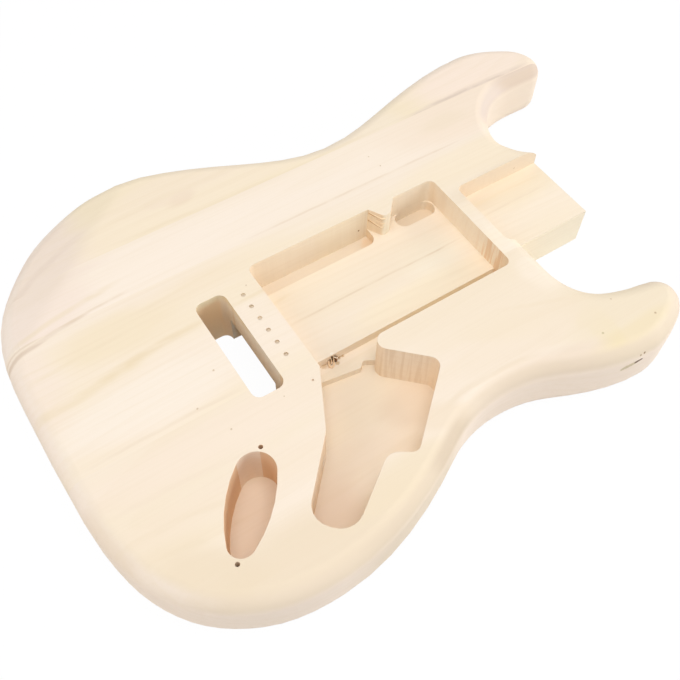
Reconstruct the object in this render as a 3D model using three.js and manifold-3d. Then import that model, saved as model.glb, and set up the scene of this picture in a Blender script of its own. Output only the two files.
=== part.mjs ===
import * as THREE from 'three';
import { mergeVertices } from 'three/addons/utils/BufferGeometryUtils.js';
import Module from 'manifold-3d';

// Bare electric guitar body with two cutaways: boards glued edge to edge, then
// shaped, contoured, rounded over and routed. Millimetres. While it is built, x runs
// from the tail to the horns, y from the centreline to the bass side, z from the back.

const wasm = await Module();
wasm.setup();

// Overall size
const bodyLength = 460;
const bassReach = 166;
const trebleReach = 158;
const thickness = 45;
const edgeRadius = 12.7;

// Widths of the two bass boards, and the treble glue line's distance from the centreline
const outerBassBoardWidth = 62;
const innerBassBoardWidth = 40;
const trebleSeam = 36;

// Arm contour on the front and belly contour on the back
const armStartY = 42.5;
const armAngle = THREE.MathUtils.degToRad(41);
const armSlope = THREE.MathUtils.degToRad(14);
const armBlendRadius = 40;
const bellyRadius = 200;
const bellyCentreX = 256;
const bellyStartY = 45;
const bellyTilt = THREE.MathUtils.degToRad(12);
const bellySpread = THREE.MathUtils.degToRad(35);

// Tremolo bridge: six pilot holes across the body and the slot behind them
const bridgeX = 147.2;
const bridgeHoleCount = 6;
const bridgeHoleSpacing = 10.5;
const bridgeHoleRadius = 1.5;
const bridgeHoleDepth = 18;
const slotGap = 10.2;
const slotLength = 20.9;
const slotBassReach = 34.8;
const slotTrebleReach = 44.3;
const slotCornerRadius = 5.5;

// Spring cavity in the back: a deep pocket beside the slot and a shallow channel beyond it
const springHalfWidth = 28.7;
const springDepth = 16;
const springLength = 104;
const springCornerRadius = 6;
const blockPocketDepth = 23;
const blockPocketLength = 17;

// Pickup route in the front, with deeper channels along both sides. The channel beyond the
// tongue, the ear, has round ends, and leaves a ledge in the corner of the route
const pickupGap = 12.6;
const pickupLength = 148;
const pickupHalfWidth = 44.2;
const pickupCornerRadius = 5;
const pickupDepth = 20;
const channelDepth = 27.5;
const channelWidth = 13.2;
const bassChannelLength = 94.4;
const bassEarLength = 32.6;
const bassEarEndGap = 0.8;
const channelEndRadius = 6.4;

// Tongue of full height between the two bass channels: corners as shares of its length and
// reach, each with its corner radius as a share of the tongue corner radius
const tongueLength = 21;
const tongueReach = 11.2;
const tongueCornerRadius = 3;
const tongueCornerShares = [[0, 0, 0], [0.3, 1, 1], [0.57, 0.91, 1], [1, 0, 0]];

// Control cavity, entered from the treble channel: corners as shares of its length and
// width, each with its corner radius as a share of the control corner radius
const controlTailGap = 44.4;
const controlLength = 121.9;
const controlWidth = 98.3;
const controlDepth = 33;
const controlCornerRadius = 13;
const controlCornerShares = [
  [0.303, 0.395, 1.0], [0.0, 0.798, 1.0], [0.143, 1.0, 1.0], [0.487, 0.696, 0.7],
  [0.606, 0.792, 0.4], [1.0, 0.359, 0.48], [0.706, 0.0, 0.5],
];
const controlStepShares = [
  [0.47, -0.038, 0], [0.717, 0.008, 0.2], [0.75, -0.033, 0.2], [0.816, 0.018, 0],
];

// Jack cavity: an egg shape on a slant, with a plate screw hole past each end
const jackCentreGap = 65.5;
const jackCentreReach = 97.5;
const jackAngle = THREE.MathUtils.degToRad(49.9);
const jackDepth = 34;
const jackWideRadius = 11.8;
const jackNarrowRadius = 8.1;
const jackWideOffset = 19;
const jackNarrowOffset = 22.7;
const jackSideRadius = 80;
const jackScrewSpacing = 67.6;
const screwHoleRadius = 1.4;
const screwHoleDepth = 14;

// Pickguard pilot hole beside the control cavity mouth
const guardHoleGap = 4;
const guardHoleReach = 50.4;

// Drilled wire holes: controls to jack, and treble channel to spring cavity
const jackWireRadius = 4.5;
const jackWireHeight = 20;
const jackWireReach = 88;
const groundWireRadius = 2.4;
const groundWireGap = 30.5;
const groundWireSlope = THREE.MathUtils.degToRad(40);

// Neck pocket and the square heel below it
const pocketGap = 142.3;
const pocketLength = 74.6;
const pocketHalfWidth = 28.2;
const pocketDepth = 15.3;
const pocketCornerRadius = 4.5;
const pocketBassWall = 1.8;
const bassWallHeading = -48;
const trebleWallLength = 10.2;
const heelTurnRadius = 16;
const heelRootLength = 12;

// Drawing fineness and how far tools run past what they cut
const arcStep = THREE.MathUtils.degToRad(5);
const filletStep = THREE.MathUtils.degToRad(18);
const jackStep = THREE.MathUtils.degToRad(8);
const roundoverSteps = 6;
const bellySteps = 20;
const holeSides = 16;
const overrun = 5;
const edgeBlend = 0.1;
const edgeWallShare = 0.45;
const edgeTurnShare = 0.95;

// Body outline as stations on the way round from the tail past the bass side: x as a
// share of the length, y as a share of the reach of that side, heading in degrees
const bassEdgeShares = [
  [0.000, 0.175, 90], [0.017, 0.566, 70], [0.081, 0.828, 47], [0.158, 0.961, 21],
  [0.222, 1.000, 0], [0.410, 0.858, -25], [0.571, 0.704, 0], [0.729, 0.806, 17],
  [0.882, 0.883, 0], [0.972, 0.796, -34], [1.000, 0.659, -90], [0.985, 0.586, -150],
  [0.970, 0.575, 180], [0.858, 0.514, -139], [0.819, 0.314, -90], [0.828, 0.253, -65],
];
const trebleEdgeShares = [
  [0.735, 0.543, -44], [0.786, 0.613, -17], [0.823, 0.637, -23], [0.843, 0.722, -90],
  [0.815, 0.833, -153], [0.748, 0.895, 180], [0.613, 0.786, 155], [0.528, 0.734, 180],
  [0.440, 0.802, -150], [0.227, 1.000, 180], [0.127, 0.946, 155], [0.058, 0.798, 130],
  [0.017, 0.567, 105], [0.004, 0.342, 93],
];

const outerBassSeam = bassReach - outerBassBoardWidth;
const innerBassSeam = outerBassSeam - innerBassBoardWidth;
const pocketStartX = bodyLength - pocketGap;
const pocketEndX = pocketStartX + pocketLength;
const pickupStartX = bridgeX + pickupGap;
const pickupEndX = pickupStartX + pickupLength;
const slotEndX = bridgeX - slotGap;

// Outline of the body

function station(x, y, degrees) {
  return { place: new THREE.Vector2(x, y), heading: THREE.MathUtils.degToRad(degrees) };
}

// Turn from one heading to another, at most half a circle either way
function turnBetween(from, to) {
  return THREE.MathUtils.euclideanModulo(to - from + Math.PI, 2 * Math.PI) - Math.PI;
}

// The station that an arc of a radius reaches from another
function afterArc(start, degrees, radius) {
  const heading = THREE.MathUtils.degToRad(degrees);
  const turn = turnBetween(start.heading, heading);
  const chord = new THREE.Vector2(2 * radius * Math.sin(Math.abs(turn) / 2), 0);
  chord.rotateAround(new THREE.Vector2(), start.heading + turn / 2);
  return { place: start.place.clone().add(chord), heading };
}

// At the neck the line passes the end of the pocket's bass wall, turns back inside the
// heel, where the pocket and the heel block hide it, and leaves down the treble cutaway
function neckStations() {
  const wallEnd = station(pocketEndX, pocketHalfWidth + pocketBassWall, bassWallHeading);
  const past = new THREE.Vector2(overrun, 0).rotateAround(new THREE.Vector2(), wallEnd.heading);
  const turnStart = { place: wallEnd.place.clone().add(past), heading: wallEnd.heading };
  const turnEnd = afterArc(turnStart, 180, heelTurnRadius);
  const cutawayX = pocketStartX + trebleWallLength;
  const bendStart = station(cutawayX + heelTurnRadius, turnEnd.place.y, 180);
  return [wallEnd, turnStart, turnEnd, bendStart, afterArc(bendStart, -90, heelTurnRadius),
    station(cutawayX, -2 * pocketHalfWidth, -90)];
}

function bodyStations() {
  const edge = (shares, reach) => shares.map(
    ([x, y, heading]) => station(x * bodyLength, y * reach, heading));
  return [...edge(bassEdgeShares, bassReach), ...neckStations(), ...edge(trebleEdgeShares, -trebleReach)];
}

// A run between two stations turns like an arc: it has the handles of a circle of that turn
function runBetween(start, end) {
  const turn = turnBetween(start.heading, end.heading);
  const chord = start.place.distanceTo(end.place);
  const handle = 2 * chord / (3 * (1 + Math.cos(turn / 2)));
  const leave = new THREE.Vector2(handle, 0).rotateAround(new THREE.Vector2(), start.heading);
  const arrive = new THREE.Vector2(handle, 0).rotateAround(new THREE.Vector2(), end.heading);
  const curve = new THREE.CubicBezierCurve(
    start.place, start.place.clone().add(leave), end.place.clone().sub(arrive), end.place);
  return { curve, steps: Math.max(2, Math.ceil(Math.abs(turn) / arcStep)) };
}

// Points round the body, each with the outward direction of the edge there
function bodyEdge() {
  const stations = bodyStations();
  const edge = [];
  stations.forEach((start, index) => {
    const { curve, steps } = runBetween(start, stations[(index + 1) % stations.length]);
    for (let step = 0; step < steps; step += 1) {
      const tangent = curve.getTangent(step / steps);
      edge.push({ place: curve.getPoint(step / steps), outward: new THREE.Vector2(-tangent.y, tangent.x) });
    }
  });
  return edge;
}

// Heights of the two faces: flat, lowered by the arm contour and raised by the belly contour

function armDrop(distance) {
  const blendLength = armBlendRadius * Math.sin(armSlope);
  if (distance <= 0) return 0;
  if (distance < blendLength) return armBlendRadius - Math.sqrt(armBlendRadius ** 2 - distance ** 2);
  return armBlendRadius * (1 - Math.cos(armSlope)) + Math.tan(armSlope) * (distance - blendLength);
}

function frontHeight(place) {
  const distance = (place.y - armStartY) * Math.cos(armAngle) - place.x * Math.sin(armAngle);
  return thickness - armDrop(distance);
}

function backHeight(place) {
  const across = place.x - bellyCentreX;
  if (Math.abs(across) >= bellyRadius) return 0;
  const sag = bellyRadius - Math.sqrt(bellyRadius ** 2 - across ** 2);
  return Math.max(0, (place.y - bellyStartY) * Math.tan(bellyTilt) - sag / Math.cos(bellyTilt));
}

// Solids and cutting tools

function solidFrom(geometry) {
  const bare = geometry.index ? geometry.toNonIndexed() : geometry.clone();
  bare.deleteAttribute('normal');
  bare.deleteAttribute('uv');
  const merged = mergeVertices(bare);
  const mesh = new wasm.Mesh({
    numProp: 3,
    vertProperties: Float32Array.from(merged.attributes.position.array),
    triVerts: Uint32Array.from(merged.index.array),
  });
  return new wasm.Manifold(mesh);
}

function geometryFrom(solid) {
  const mesh = solid.getMesh();
  const geometry = new THREE.BufferGeometry();
  geometry.setAttribute('position', new THREE.BufferAttribute(mesh.vertProperties, 3));
  geometry.setIndex(new THREE.BufferAttribute(mesh.triVerts, 1));
  geometry.computeVertexNormals();
  return geometry;
}

function extrusion(outline, depth) {
  return new THREE.ExtrudeGeometry(new THREE.Shape(outline), { depth, bevelEnabled: false, steps: 1 });
}

function prism(outline, bottom, top) {
  return solidFrom(extrusion(outline, top - bottom).translate(0, 0, bottom));
}

function box(startX, endX, startY, endY, bottom, top) {
  const geometry = new THREE.BoxGeometry(endX - startX, endY - startY, top - bottom);
  return solidFrom(geometry.translate((startX + endX) / 2, (startY + endY) / 2, (bottom + top) / 2));
}

// A round hole between two points
function drill(start, end, radius) {
  const along = end.clone().sub(start);
  const up = new THREE.Vector3(0, 1, 0);
  const turn = new THREE.Quaternion().setFromUnitVectors(up, along.clone().normalize());
  const geometry = new THREE.CylinderGeometry(radius, radius, along.length(), holeSides);
  geometry.applyQuaternion(turn);
  const middle = start.clone().lerp(end, 0.5);
  return solidFrom(geometry.translate(middle.x, middle.y, middle.z));
}

function frontHole(x, y, radius, depth) {
  const mouth = new THREE.Vector3(x, y, thickness + overrun);
  return drill(new THREE.Vector3(x, y, thickness - depth), mouth, radius);
}

// Straight runs joined by arcs. Each corner is x, y and its radius, which a short
// neighbouring run may limit
function roundedOutline(corners) {
  const places = corners.map(([x, y]) => new THREE.Vector2(x, y));
  return corners.flatMap(([, , radius], index) => {
    const corner = places[index];
    const before = places.at(index - 1).clone().sub(corner);
    const after = places[(index + 1) % places.length].clone().sub(corner);
    const half = Math.acos(before.clone().normalize().dot(after.clone().normalize())) / 2;
    const reach = Math.min(radius / Math.tan(half), before.length() / 2, after.length() / 2);
    if (reach <= 0) return [corner];
    const start = before.setLength(reach);
    const end = after.setLength(reach);
    const centre = start.clone().add(end).setLength(reach / Math.cos(half));
    const sweep = (Math.PI - 2 * half) * Math.sign(end.cross(start));
    const steps = Math.max(1, Math.ceil(Math.abs(sweep) / filletStep));
    return Array.from({ length: steps + 1 }, (_, step) =>
      start.clone().rotateAround(centre, sweep * step / steps).add(corner));
  });
}

function roundedBox(startX, endX, startY, endY, radius) {
  return roundedOutline([
    [startX, startY, radius], [endX, startY, radius], [endX, endY, radius], [startX, endY, radius]]);
}

// The largest roundover that a turn of the edge between two neighbouring points leaves room for
function turnRoom(near, next) {
  const turn = next.outward.cross(near.outward);
  return turn > 0 ? edgeTurnShare * near.place.distanceTo(next.place) / turn : Infinity;
}

// Blank: rings of the outline, drawn in by the roundover of both edges, which follows
// the height of each face. It stands proud of both faces, which are planed afterwards
function bodyBlank() {
  const edge = bodyEdge();
  const room = edge.map((point, index) => Math.min(
    turnRoom(edge.at(index - 1), point), turnRoom(point, edge[(index + 1) % edge.length])));
  const rings = [];
  const ring = (angle, side) => edge.map(({ place, outward }, index) => {
    const rim = place.clone().addScaledVector(outward, -edgeRadius);
    const wall = frontHeight(rim) - backHeight(rim);
    const radius = Math.min(edgeRadius, edgeWallShare * wall, room[index]);
    const spot = place.clone().addScaledVector(outward, -radius * (1 - Math.cos(angle)));
    const lift = edgeBlend - radius * (1 - Math.sin(angle));
    const height = side > 0 ? frontHeight(spot) + lift : backHeight(spot) - lift;
    return new THREE.Vector3(spot.x, spot.y, height);
  });
  for (let step = roundoverSteps; step >= 0; step -= 1) {
    rings.push(ring(step / roundoverSteps * Math.PI / 2, -1));
  }
  for (let step = 0; step <= roundoverSteps; step += 1) {
    rings.push(ring(step / roundoverSteps * Math.PI / 2, 1));
  }
  rings.unshift(rings[0].map((point) => new THREE.Vector3(point.x, point.y, -overrun)));
  rings.push(rings.at(-1).map((point) => new THREE.Vector3(point.x, point.y, thickness + overrun)));
  return solidFrom(loft(rings, edge.map(({ place }) => place)));
}

// Closed skin through rings of as many points. A flat cap at each end takes its triangles
// from the outline that the rings follow
function loft(rings, outline) {
  const count = rings[0].length;
  const faces = [];
  for (let level = 0; level < rings.length - 1; level += 1) {
    for (let index = 0; index < count; index += 1) {
      const near = level * count + index;
      const next = level * count + (index + 1) % count;
      faces.push(near, near + count, next, next, near + count, next + count);
    }
  }
  const last = (rings.length - 1) * count;
  const cap = THREE.ShapeUtils.triangulateShape(outline, []);
  cap.forEach(([a, b, c]) => faces.push(last + a, last + b, last + c, a, c, b));
  const geometry = new THREE.BufferGeometry();
  const positions = rings.flat().flatMap((point) => point.toArray());
  geometry.setAttribute('position', new THREE.Float32BufferAttribute(positions, 3));
  geometry.setIndex(faces);
  return geometry;
}

// Plane the front: all above the face and its arm contour, one profile drawn along the contour
function frontWaste() {
  const blendLength = armBlendRadius * Math.sin(armSlope);
  const blend = Array.from({ length: roundoverSteps + 1 }, (_, step) => blendLength * step / roundoverSteps);
  const distances = [-bodyLength, ...blend, bodyLength];
  const profile = distances.map((distance) => new THREE.Vector2(distance, thickness - armDrop(distance)));
  const top = thickness + 2 * overrun;
  profile.push(new THREE.Vector2(bodyLength, top), new THREE.Vector2(-bodyLength, top));
  const depth = 3 * bodyLength;
  const geometry = extrusion(profile, depth);
  geometry.translate(0, 0, -depth / 2).rotateX(Math.PI / 2).rotateZ(armAngle + Math.PI / 2);
  return solidFrom(geometry.translate(0, armStartY, 0));
}

// Plane the back: all below it, and the belly contour as a wide cylinder tilted up to the bass edge
function backWaste() {
  const arc = Array.from({ length: bellySteps + 1 }, (_, step) => {
    const angle = bellySpread * (1 - 2 * step / bellySteps);
    return new THREE.Vector2(bellyRadius * Math.sin(angle), bellyRadius * (Math.cos(angle) - 1));
  });
  const deep = arc[0].y - thickness;
  arc.push(new THREE.Vector2(-arc[0].x, deep), new THREE.Vector2(arc[0].x, deep));
  const depth = 2 * bassReach;
  const geometry = extrusion(arc, depth);
  geometry.translate(0, 0, -depth).rotateX(Math.PI / 2 + bellyTilt).translate(bellyCentreX, bellyStartY, 0);
  const below = box(-bodyLength, 2 * bodyLength, -bodyLength, bodyLength, -2 * overrun, 0);
  return solidFrom(geometry).add(below);
}

// Square heel block under the neck pocket
function heelBlock() {
  return box(pocketStartX - heelRootLength, pocketEndX + overrun, -pocketHalfWidth,
    pocketHalfWidth + pocketBassWall, 0, thickness - pocketDepth);
}

// The end of the pocket and of the heel is one flat cut, past the turn of the outline there
function heelEndWaste() {
  const reach = pocketHalfWidth + 2 * heelTurnRadius;
  return box(pocketEndX, pocketEndX + 4 * overrun, -pocketHalfWidth - overrun, reach,
    -overrun, thickness + 3 * overrun);
}

function neckPocket() {
  const outline = roundedBox(pocketStartX, pocketEndX + 4 * overrun,
    -pocketHalfWidth, pocketHalfWidth, pocketCornerRadius);
  return prism(outline, thickness - pocketDepth, thickness + 3 * overrun);
}

// Front routes. Pickup route and control cavity share one mouth, whose outline is cut
// to each depth within its own region

function controlCorner([xShare, yShare, radiusShare]) {
  return [bridgeX - controlTailGap + xShare * controlLength,
    -pickupHalfWidth - yShare * controlWidth, radiusShare * controlCornerRadius];
}

function tongueCorner([xShare, yShare, radiusShare]) {
  return [pickupStartX + bassChannelLength + xShare * tongueLength,
    pickupHalfWidth - yShare * tongueReach, radiusShare * tongueCornerRadius];
}

function mouthOutline() {
  return roundedOutline([
    [pickupStartX, pickupHalfWidth, pickupCornerRadius],
    [pickupStartX, -pickupHalfWidth, 0],
    ...controlCornerShares.map(controlCorner),
    [pickupEndX, -pickupHalfWidth, pickupCornerRadius],
    [pickupEndX, pickupHalfWidth, pickupCornerRadius],
    ...tongueCornerShares.map(tongueCorner).reverse(),
  ]);
}

function controlRegion() {
  const step = controlStepShares.map(controlCorner);
  const left = bridgeX - controlTailGap - overrun;
  const right = left + controlLength + 2 * overrun;
  const bottom = -pickupHalfWidth - controlWidth - overrun;
  return roundedOutline([
    [left, step[0][1], 0], ...step, [right, step.at(-1)[1], 0], [right, bottom, 0], [left, bottom, 0]]);
}

function frontRoutes() {
  const top = thickness + overrun;
  const mouth = mouthOutline();
  const cutTo = (depth, region) => prism(mouth, thickness - depth, top)
    .intersect(prism(region, thickness - depth - overrun, top + overrun));
  const channelY = pickupHalfWidth - channelWidth;
  const farY = pickupHalfWidth + overrun;
  const earStartX = pickupEndX - bassEarLength;
  const earEndX = pickupEndX - bassEarEndGap;
  const channelEndX = pickupStartX + bassChannelLength;
  return [
    prism(mouth, thickness - pickupDepth, top),
    cutTo(channelDepth, roundedBox(pickupStartX - overrun, channelEndX, channelY, farY, channelEndRadius)),
    cutTo(channelDepth, roundedBox(earStartX, earEndX, channelY, pickupHalfWidth, channelEndRadius)),
    cutTo(channelDepth, roundedBox(bridgeX - controlTailGap, pickupEndX + overrun,
      -pickupHalfWidth - controlWidth - overrun, -channelY, 0)),
    cutTo(controlDepth, controlRegion()),
  ];
}

// Jack cavity: two end circles and the two large arcs that touch both, laid on the slant
function jackPlace(along, across = 0) {
  const place = new THREE.Vector2(along, across).rotateAround(new THREE.Vector2(), jackAngle);
  return place.add(new THREE.Vector2(bridgeX - jackCentreGap, -jackCentreReach));
}

// Points of an arc, with its angles measured from the line that joins the end circles
function jackArc(along, across, radius, from, to) {
  const steps = Math.ceil((to - from) / jackStep);
  return Array.from({ length: steps + 1 }, (_, step) => {
    const angle = from + (to - from) * step / steps;
    return jackPlace(along + radius * Math.cos(angle), across + radius * Math.sin(angle));
  });
}

// Angle between two sides of a triangle, from its three lengths
function triangleAngle(near, other, opposite) {
  return Math.acos((near ** 2 + other ** 2 - opposite ** 2) / (2 * near * other));
}

function jackCavity() {
  const spacing = jackWideOffset + jackNarrowOffset;
  const wideReach = jackSideRadius - jackWideRadius;
  const narrowReach = jackSideRadius - jackNarrowRadius;
  const wide = triangleAngle(spacing, wideReach, narrowReach);
  const narrow = Math.PI - triangleAngle(spacing, narrowReach, wideReach);
  const along = jackWideOffset - wideReach * Math.cos(wide);
  const across = wideReach * Math.sin(wide);
  const full = 2 * Math.PI;
  const outline = [
    jackArc(jackWideOffset, 0, jackWideRadius, -wide, wide),
    jackArc(along, -across, jackSideRadius, wide, narrow),
    jackArc(-jackNarrowOffset, 0, jackNarrowRadius, narrow, full - narrow),
    jackArc(along, across, jackSideRadius, full - narrow, full - wide),
  ].flatMap((arc) => arc.slice(0, -1));
  return prism(outline, thickness - jackDepth, thickness + overrun);
}

function jackScrewHoles() {
  return [-1, 1].map((end) => {
    const place = jackPlace(end * jackScrewSpacing / 2);
    return frontHole(place.x, place.y, screwHoleRadius, screwHoleDepth);
  });
}

function bridgeHoles() {
  return Array.from({ length: bridgeHoleCount }, (_, index) => {
    const y = (index - (bridgeHoleCount - 1) / 2) * bridgeHoleSpacing;
    return frontHole(bridgeX, y, bridgeHoleRadius, bridgeHoleDepth);
  });
}

function bridgeSlot() {
  const outline = roundedBox(slotEndX - slotLength, slotEndX,
    -slotTrebleReach, slotBassReach, slotCornerRadius);
  return prism(outline, -overrun, thickness + overrun);
}

// Spring cavity from the back, open to the slot along its whole width
function springCavity() {
  const startX = slotEndX - slotLength / 2;
  const cut = (length, depth) => prism(roundedOutline([
    [startX, -springHalfWidth, 0],
    [slotEndX + length, -springHalfWidth, springCornerRadius],
    [slotEndX + length, springHalfWidth, springCornerRadius],
    [startX, springHalfWidth, 0],
  ]), -overrun, depth);
  return [cut(springLength, springDepth), cut(blockPocketLength, blockPocketDepth)];
}

// Wire holes: level between jack and controls, and slanting down from the channel step
function wireHoles() {
  const jackX = bridgeX - jackCentreGap + jackWideOffset / 2;
  const jackWire = drill(new THREE.Vector3(jackX, -jackWireReach, jackWireHeight),
    new THREE.Vector3(bridgeX, -jackWireReach, jackWireHeight), jackWireRadius);
  const stepY = channelWidth - pickupHalfWidth;
  const stepZ = thickness - channelDepth + groundWireRadius;
  const run = new THREE.Vector2(channelWidth / 2, 0).rotateAround(new THREE.Vector2(), -groundWireSlope);
  const groundX = bridgeX + groundWireGap;
  const groundWire = drill(new THREE.Vector3(groundX, stepY - run.x / 2, stepZ - run.y / 2),
    new THREE.Vector3(groundX, stepY + run.x, stepZ + run.y), groundWireRadius);
  return [jackWire, groundWire];
}

function wholeBody() {
  let body = bodyBlank().subtract(frontWaste()).subtract(backWaste());
  body = body.add(heelBlock()).subtract(heelEndWaste()).subtract(neckPocket());
  const cuts = [bridgeSlot(), ...springCavity(), ...frontRoutes(), jackCavity(), ...jackScrewHoles(),
    ...bridgeHoles(), ...wireHoles(),
    frontHole(bridgeX + guardHoleGap, -guardHoleReach, screwHoleRadius, screwHoleDepth)];
  return cuts.reduce((solid, cut) => solid.subtract(cut), body);
}

// Boards, from the treble edge to the bass edge, each the body between two glue lines
const boards = [
  { name: 'treble_board', from: -trebleReach - overrun, to: -trebleSeam, color: 0xf3dfc2 },
  { name: 'centre_board', from: -trebleSeam, to: innerBassSeam, color: 0xf6e3c8 },
  { name: 'bass_inner_board', from: innerBassSeam, to: outerBassSeam, color: 0xfaeadb },
  { name: 'bass_outer_board', from: outerBassSeam, to: bassReach + overrun, color: 0xf2dcbd },
];

const guitarBody = new THREE.Group();
guitarBody.position.set(-bodyLength / 2, (trebleReach - bassReach) / 2, 0);
const body = wholeBody();
boards.forEach(({ name, from, to, color }) => {
  const slab = box(-overrun, bodyLength + overrun, from, to, -overrun, thickness + overrun);
  const material = new THREE.MeshStandardMaterial({ color, roughness: 0.7, metalness: 0 });
  const mesh = new THREE.Mesh(geometryFrom(body.intersect(slab)), material);
  mesh.name = name;
  guitarBody.add(mesh);
});

export default guitarBody;
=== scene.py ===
# %% [markdown]
# # A bare electric guitar body
# The object is a blank of four boards glued edge to edge, then shaped, sanded and routed.
# Nothing is painted, so the whole look is wood: its tone from board to board, its rings,
# its end grain in the cavity walls, and the marks that the tools left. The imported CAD
# model gives every shape and place, in metres, with +X to the neck and +Z out of the front.

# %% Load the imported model
import math

import bmesh
import bpy
import numpy as np
from mathutils import Matrix, Vector


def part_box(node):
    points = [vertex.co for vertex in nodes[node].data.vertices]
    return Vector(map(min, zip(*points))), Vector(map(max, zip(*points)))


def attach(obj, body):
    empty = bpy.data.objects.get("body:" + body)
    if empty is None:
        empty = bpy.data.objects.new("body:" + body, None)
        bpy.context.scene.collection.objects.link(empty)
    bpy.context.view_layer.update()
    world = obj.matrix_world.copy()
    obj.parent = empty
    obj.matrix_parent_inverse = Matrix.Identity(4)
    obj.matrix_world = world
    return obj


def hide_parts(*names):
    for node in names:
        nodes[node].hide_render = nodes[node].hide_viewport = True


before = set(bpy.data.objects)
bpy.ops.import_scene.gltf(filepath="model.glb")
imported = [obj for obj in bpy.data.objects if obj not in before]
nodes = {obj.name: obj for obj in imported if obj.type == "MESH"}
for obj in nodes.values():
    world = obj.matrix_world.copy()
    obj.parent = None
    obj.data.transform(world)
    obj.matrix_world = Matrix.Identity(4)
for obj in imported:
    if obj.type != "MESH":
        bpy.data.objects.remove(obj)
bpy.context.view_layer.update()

MM = 0.001
print("boards:", ", ".join(sorted(nodes)))

# %% [markdown]
# ## Camera
# The photograph looks down on the tail and treble side from about half a metre, so near
# edges are clearly larger than far ones. The view is written as a photographer would say
# it: a point aimed at, a heading, a height angle, a slight tilt, a distance and a lens.

# %% Camera
AIM = Vector((-44.3, -30.9, 30.0)) * MM
HEADING = math.radians(34.02)
HEIGHT_ANGLE = math.radians(56.30)
TILT = math.radians(1.28)
DISTANCE = 524.2 * MM
LENS = 43.99
SENSOR_WIDTH = 36
NEAREST = 0.01


def camera_matrix(aim, heading, height_angle, tilt, distance):
    """Frame of a camera that looks along heading (0 is +Y, towards +X) and down by the height angle."""
    forward = Vector((
        math.sin(heading) * math.cos(height_angle),
        math.cos(heading) * math.cos(height_angle),
        -math.sin(height_angle),
    ))
    level = Vector((math.cos(heading), -math.sin(heading), 0))
    right = Matrix.Rotation(-tilt, 3, forward) @ level
    up = right.cross(forward)
    place = aim - forward * distance
    rows = [[right[i], up[i], -forward[i], place[i]] for i in range(3)]
    return Matrix(rows + [[0, 0, 0, 1]])


camera_data = bpy.data.cameras.new("camera")
camera_data.lens = LENS
camera_data.sensor_width = SENSOR_WIDTH
camera_data.clip_start = NEAREST
camera = bpy.data.objects.new("camera", camera_data)
camera.matrix_world = camera_matrix(AIM, HEADING, HEIGHT_ANGLE, TILT, DISTANCE)
bpy.context.scene.collection.objects.link(camera)
bpy.context.scene.camera = camera
print("camera in mm:", [round(x / MM, 1) for x in camera.matrix_world.translation])

# %% [markdown]
# ## Light, floor and background
# The picture is a shop photograph: light from everywhere, hardly any shadow, white behind.
# An even sky does most of it. A soft lamp overhead, a little to the camera's side, reaches
# the cavity floors. A low lamp past the neck and a higher one past the tail brighten the
# edges and walls that face them, as in the picture. The floor is a real surface that
# catches the shadow, mixed with plain white for the camera alone, so the background turns
# white with no more light falling on the wood.

# %% Sky
SKY = 0.44
WHITE = (1, 1, 1, 1)


def seen_directly(tree):
    """1 for camera, glossy and transmission rays, and 0 for the rays that carry light to the wood."""
    path = tree.nodes.new("ShaderNodeLightPath")
    seen = path.outputs["Is Camera Ray"]
    for kind in ("Is Glossy Ray", "Is Transmission Ray"):
        either = tree.nodes.new("ShaderNodeMath")
        either.operation = "MAXIMUM"
        tree.links.new(seen, either.inputs[0])
        tree.links.new(path.outputs[kind], either.inputs[1])
        seen = either.outputs[0]
    return seen


def join_mixed(tree, share, lit, white, out):
    """Joins a lit shader to the output, with a share of plain white over it."""
    mix = tree.nodes.new("ShaderNodeMixShader")
    tree.links.new(share, mix.inputs[0])
    tree.links.new(lit.outputs[0], mix.inputs[1])
    tree.links.new(white.outputs[0], mix.inputs[2])
    tree.links.new(mix.outputs[0], out.inputs["Surface"])


def make_sky(strength):
    """An even sky of the given strength, which the camera sees as plain white."""
    world = bpy.data.worlds.new("sky")
    bpy.context.scene.world = world
    world.use_nodes = True
    tree = world.node_tree
    tree.nodes.clear()
    light = tree.nodes.new("ShaderNodeBackground")
    light.inputs["Color"].default_value = WHITE
    light.inputs["Strength"].default_value = strength
    white = tree.nodes.new("ShaderNodeBackground")
    white.inputs["Color"].default_value = WHITE
    out = tree.nodes.new("ShaderNodeOutputWorld")
    join_mixed(tree, seen_directly(tree), light, white, out)


make_sky(SKY)
print("sky strength:", SKY)

# %% Floor
FLOOR_SIDE = 8.0
FLOOR_TONE = (0.75, 0.75, 0.75, 1)
WHITE_SHARE = 0.95
WHITE_GLOW = 1.02


def floor_material():
    """A diffuse surface, mixed with white where it is seen directly."""
    material = bpy.data.materials.new("pale_floor")
    material.use_nodes = True
    tree = material.node_tree
    tree.nodes.clear()
    diffuse = tree.nodes.new("ShaderNodeBsdfDiffuse")
    diffuse.inputs["Color"].default_value = FLOOR_TONE
    white = tree.nodes.new("ShaderNodeEmission")
    white.inputs["Strength"].default_value = WHITE_GLOW
    share = tree.nodes.new("ShaderNodeMath")
    share.operation = "MULTIPLY"
    share.inputs[1].default_value = WHITE_SHARE
    tree.links.new(seen_directly(tree), share.inputs[0])
    out = tree.nodes.new("ShaderNodeOutputMaterial")
    join_mixed(tree, share.outputs[0], diffuse, white, out)
    return material


half = FLOOR_SIDE / 2
floor_mesh = bpy.data.meshes.new("floor")
floor_corners = [(-half, -half, 0), (half, -half, 0), (half, half, 0), (-half, half, 0)]
floor_mesh.from_pydata(floor_corners, [], [(0, 1, 2, 3)])
floor_mesh.materials.append(floor_material())
floor = bpy.data.objects.new("floor", floor_mesh)
bpy.context.scene.collection.objects.link(floor)
print("floor side in metres:", FLOOR_SIDE, "share of white:", WHITE_SHARE)

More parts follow.
